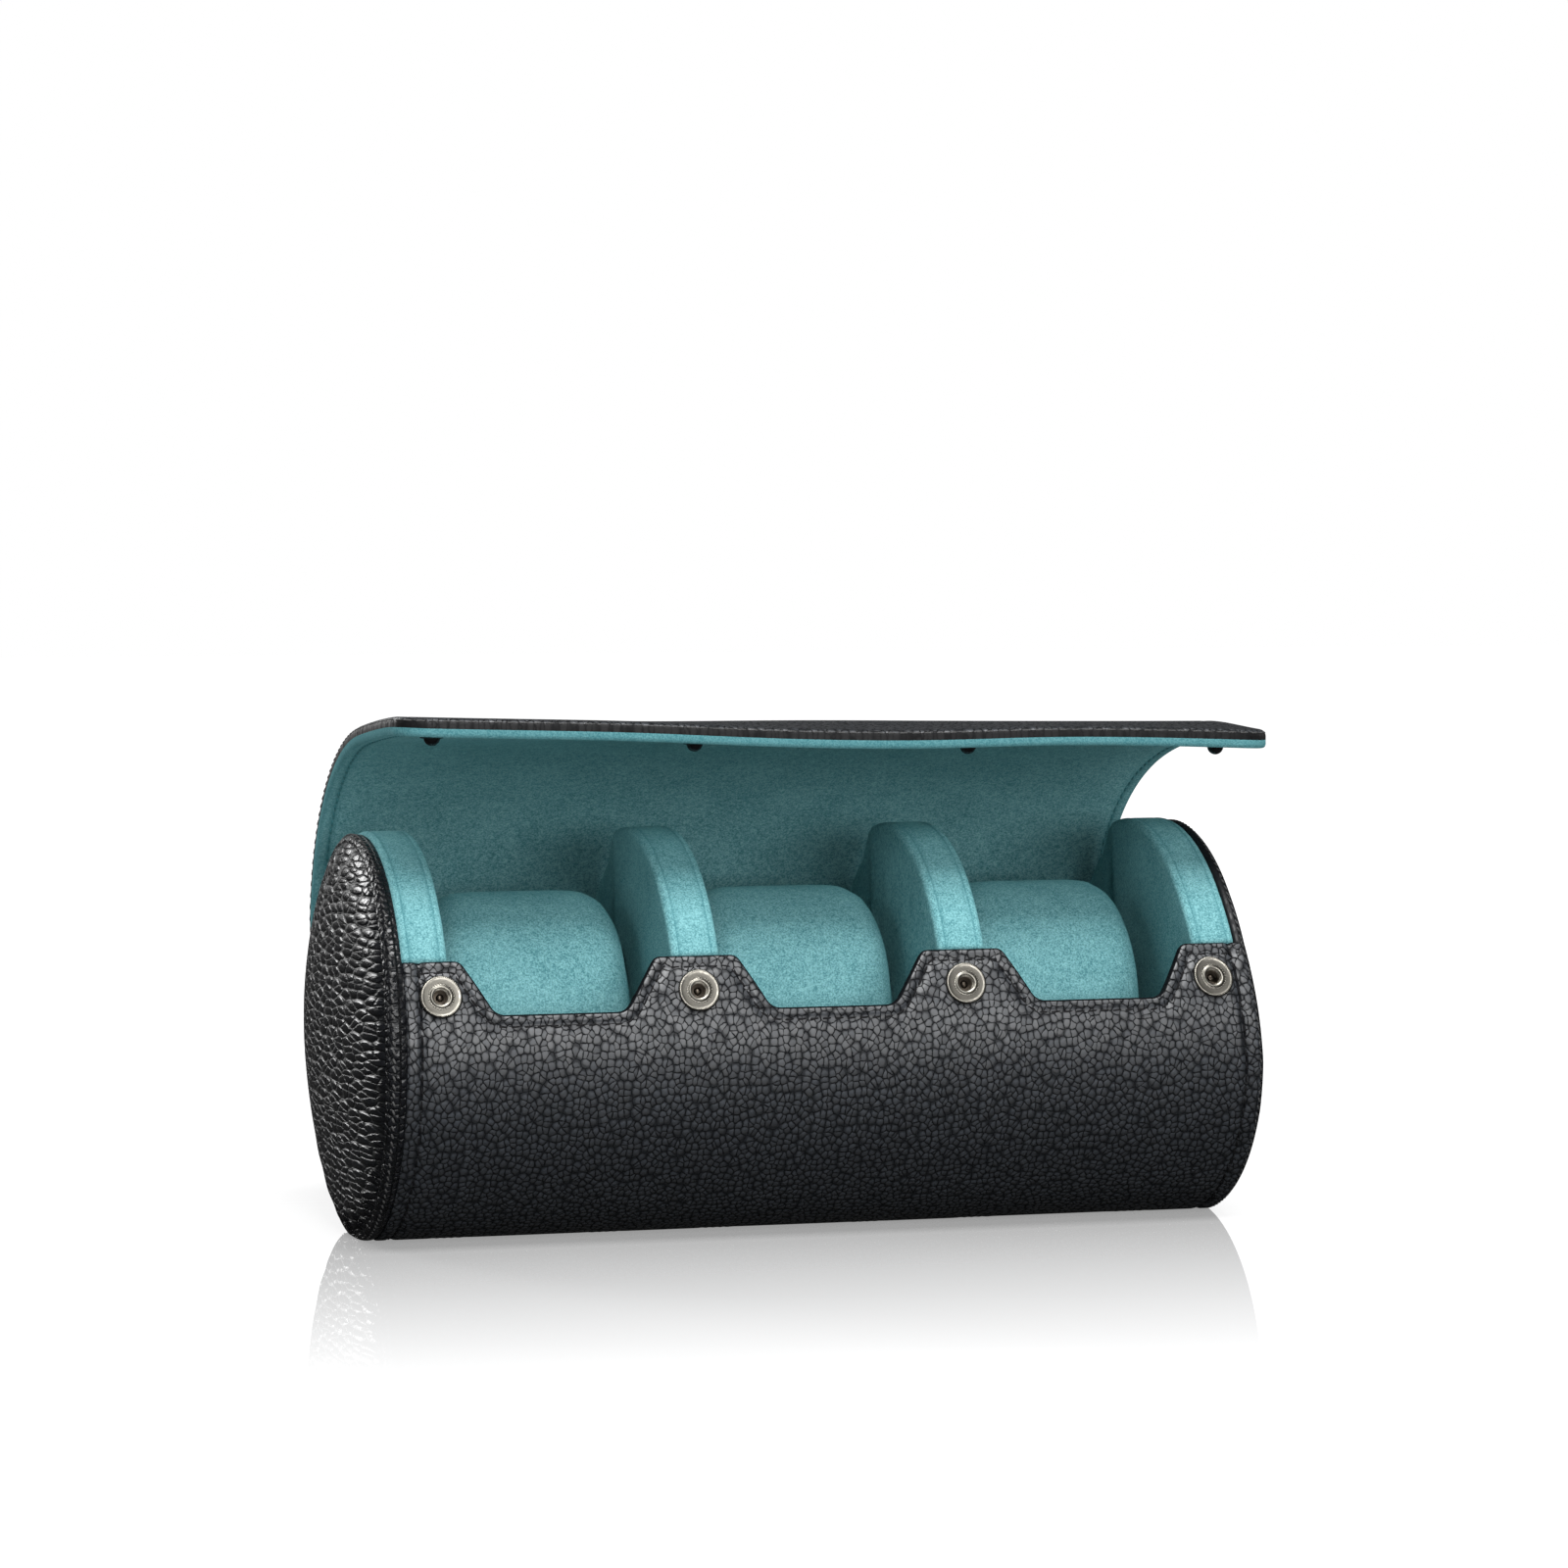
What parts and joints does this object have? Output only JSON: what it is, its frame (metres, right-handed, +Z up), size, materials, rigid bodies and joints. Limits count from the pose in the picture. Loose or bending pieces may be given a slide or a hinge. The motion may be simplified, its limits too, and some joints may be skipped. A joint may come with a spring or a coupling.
{
  "type": "watch travel case",
  "caption": "Cylindrical leather travel case for wristwatches, with dividers, lift-out cushions and a flexible lid that wraps over and snaps to the front.",
  "frame": {"origin": "centre of the flat under the wrap that the case stands on", "axes": "+X along the case to its right end as seen from the front, -Y out of the front wall with the snaps, +Z up"},
  "size_m": [0.226, 0.1105, 0.1275],
  "materials": {
    "black_leather": "pebbled, semi-matt",
    "teal_suede": "suede nap, matt",
    "foam": "foam, matt",
    "board": "grey board, matt",
    "nickel": "nickel plate, bright",
    "black_nickel": "glossy black"
  },
  "bodies": {
    "case": {"shell_leather": "black_leather", "shell_board": "board", "shell_lining": "teal_suede", "end_rim_left": "black_leather", "end_rim_right": "black_leather", "end_panel_left": "black_leather", "end_panel_right": "black_leather", "end_padding_left": "foam", "end_padding_right": "foam", "end_board_left": "board", "end_board_right": "board", "end_disc_core_left": "foam", "end_disc_core_right": "foam", "end_disc_suede_left": "teal_suede", "end_disc_suede_right": "teal_suede", "divider_core_left": "foam", "divider_core_right": "foam", "divider_suede_left": "teal_suede", "divider_suede_right": "teal_suede", "snap_sockets": "nickel", "socket_springs": "nickel", "socket_backs": "nickel"},
    "lid": {"lid_leather": "black_leather", "lid_board": "board", "lid_lining": "teal_suede"},
    "flap_rear": {"flap_rear_leather": "black_leather", "flap_rear_lining": "teal_suede"},
    "flap_front": {"flap_front_leather": "black_leather", "flap_front_lining": "teal_suede", "snap_studs": "black_nickel", "stud_posts": "nickel"},
    "cushion_left": {"cushion_cover_left": "teal_suede", "cushion_core_left": "foam"},
    "cushion_middle": {"cushion_cover_middle": "teal_suede", "cushion_core_middle": "foam"},
    "cushion_right": {"cushion_cover_right": "teal_suede", "cushion_core_right": "foam"}
  },
  "joints": [
    {"name": "lid_hinge", "type": "hinge", "parent": "case", "child": "lid", "pos_m": [0, 0.05, 0.04877], "axis": [-1, 0, 0], "range_deg": [-21, 130]},
    {"name": "flap_fold_front", "type": "hinge", "parent": "flap_rear", "child": "flap_front", "pos_m": [0, -0.02523, 0.122], "axis": [-1, 0, 0], "range_deg": [-27.77, 0]},
    {"name": "flap_fold_rear", "type": "hinge", "parent": "lid", "child": "flap_rear", "pos_m": [0, 0.0049, 0.11883], "axis": [-1, 0, 0], "range_deg": [-21.17, 0]},
    {"name": "cushion_lift_left", "type": "slide", "parent": "case", "child": "cushion_left", "axis": [0, 0, 1], "range_m": [0, 0.03]},
    {"name": "cushion_lift_middle", "type": "slide", "parent": "case", "child": "cushion_middle", "axis": [0, 0, 1], "range_m": [0, 0.03]},
    {"name": "cushion_lift_right", "type": "slide", "parent": "case", "child": "cushion_right", "axis": [0, 0, 1], "range_m": [0, 0.03]}
  ],
  "couplings": [
    {"joint": "flap_fold_rear", "follows": "flap_fold_front", "ratio": 0.7617}
  ]
}
